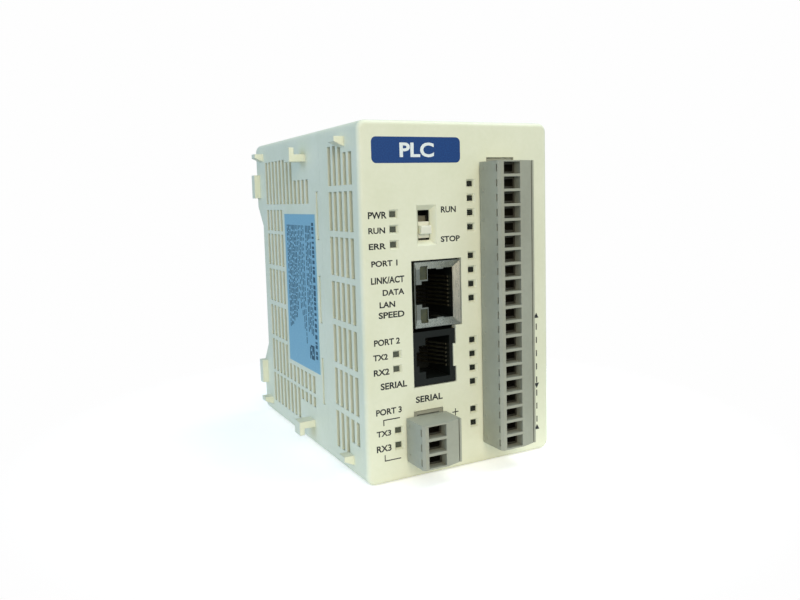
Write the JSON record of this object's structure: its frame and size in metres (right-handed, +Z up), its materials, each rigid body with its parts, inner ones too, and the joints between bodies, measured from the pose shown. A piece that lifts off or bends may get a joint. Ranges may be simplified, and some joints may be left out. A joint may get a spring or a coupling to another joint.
{
  "type": "plc module",
  "caption": "Compact programmable controller for a 35 mm rail: vented snap-together case with mode switch, network and serial jacks, plug-in terminal blocks and module hooks.",
  "frame": {"origin": "middle of the underside of the case", "axes": "-Y out of the front face, +Y towards the rail, +Z up, +X to the right seen from the front"},
  "size_m": [0.058, 0.083, 0.085],
  "materials": {
    "case_abs": "fine spark texture, moulded",
    "plug_pa66": "moulded grey polyamide",
    "black_pbt": "moulded black PBT",
    "knob_acetal": "moulded cream acetal",
    "shield_steel": "nickel plated steel sheet",
    "gold_bronze": "gold flashed phosphor bronze",
    "tin_brass": "tin plated brass",
    "screw_steel": "zinc plated steel",
    "board_fr4": "green solder mask on glass laminate",
    "chip_epoxy": "black epoxy package",
    "relay_case": "moulded relay case",
    "capacitor_can": "sleeved aluminium can",
    "ferrite": "pressed ferrite",
    "link_nylon": "moulded nylon connector",
    "light_acrylic": "clear acrylic",
    "lamp_epoxy": "clear lamp body",
    "label_film": "printed metallised film"
  },
  "bodies": {
    "housing": {"front_cover": "case_abs", "rear_case": "case_abs", "expansion_connector": "black_pbt", "expansion_contacts": "gold_bronze", "side_label": "label_film", "cpu_board": "board_fr4", "io_board": "board_fr4", "power_board": "board_fr4", "cpu_io_link": "link_nylon", "io_power_link": "link_nylon", "ethernet_transformer": "chip_epoxy", "ethernet_chip": "chip_epoxy", "main_processor": "chip_epoxy", "memory_chip": "chip_epoxy", "analog_chip": "chip_epoxy", "output_driver": "chip_epoxy", "backup_capacitor": "capacitor_can", "relays": "relay_case", "power_inductor": "ferrite", "filter_capacitors": "capacitor_can", "status_light_guide": "light_acrylic", "io_light_guide": "light_acrylic", "status_lamps": "lamp_epoxy", "io_lamps": "lamp_epoxy", "switch_body": "black_pbt", "network_jack_shield": "shield_steel", "network_jack_insert": "black_pbt", "network_jack_contacts": "gold_bronze", "network_jack_windows": "light_acrylic", "serial_jack_body": "black_pbt", "serial_jack_contacts": "gold_bronze", "header_20": "plug_pa66", "header_20_pins": "tin_brass", "header_3": "plug_pa66", "header_3_pins": "tin_brass"},
    "mode_switch": {"switch_carriage": "black_pbt", "switch_knob": "knob_acetal"},
    "rail_clip": {"din_clip": "case_abs"},
    "upper_lock_slide": {"upper_lock": "case_abs"},
    "lower_lock_slide": {"lower_lock": "case_abs"},
    "expansion_lid": {"expansion_cover": "case_abs"},
    "terminal_plug_20": {"plug_20_body": "plug_pa66", "plug_20_cages": "tin_brass", "plug_20_contacts": "tin_brass", "plug_20_screws": "screw_steel"},
    "terminal_plug_3": {"plug_3_body": "plug_pa66", "plug_3_cages": "tin_brass", "plug_3_contacts": "tin_brass", "plug_3_screws": "screw_steel"}
  },
  "joints": [
    {"name": "mode_switch_slide", "type": "slide", "parent": "housing", "child": "mode_switch", "axis": [0, 0, 1], "range_m": [0, 0.0022]},
    {"name": "rail_clip_pull", "type": "slide", "parent": "housing", "child": "rail_clip", "axis": [0, 0, -1], "range_m": [0, 0.0045]},
    {"name": "upper_lock_slide_joint", "type": "slide", "parent": "housing", "child": "upper_lock_slide", "axis": [0, -1, 0], "range_m": [0, 0.0058]},
    {"name": "lower_lock_slide_joint", "type": "slide", "parent": "housing", "child": "lower_lock_slide", "axis": [0, -1, 0], "range_m": [0, 0.0058]},
    {"name": "expansion_lid_pull", "type": "slide", "parent": "housing", "child": "expansion_lid", "axis": [1, 0, 0], "range_m": [0, 0.02]},
    {"name": "plug_20_pull", "type": "slide", "parent": "housing", "child": "terminal_plug_20", "axis": [0, -1, 0], "range_m": [0, 0.03]},
    {"name": "plug_3_pull", "type": "slide", "parent": "housing", "child": "terminal_plug_3", "axis": [0, -1, 0], "range_m": [0, 0.03]}
  ]
}
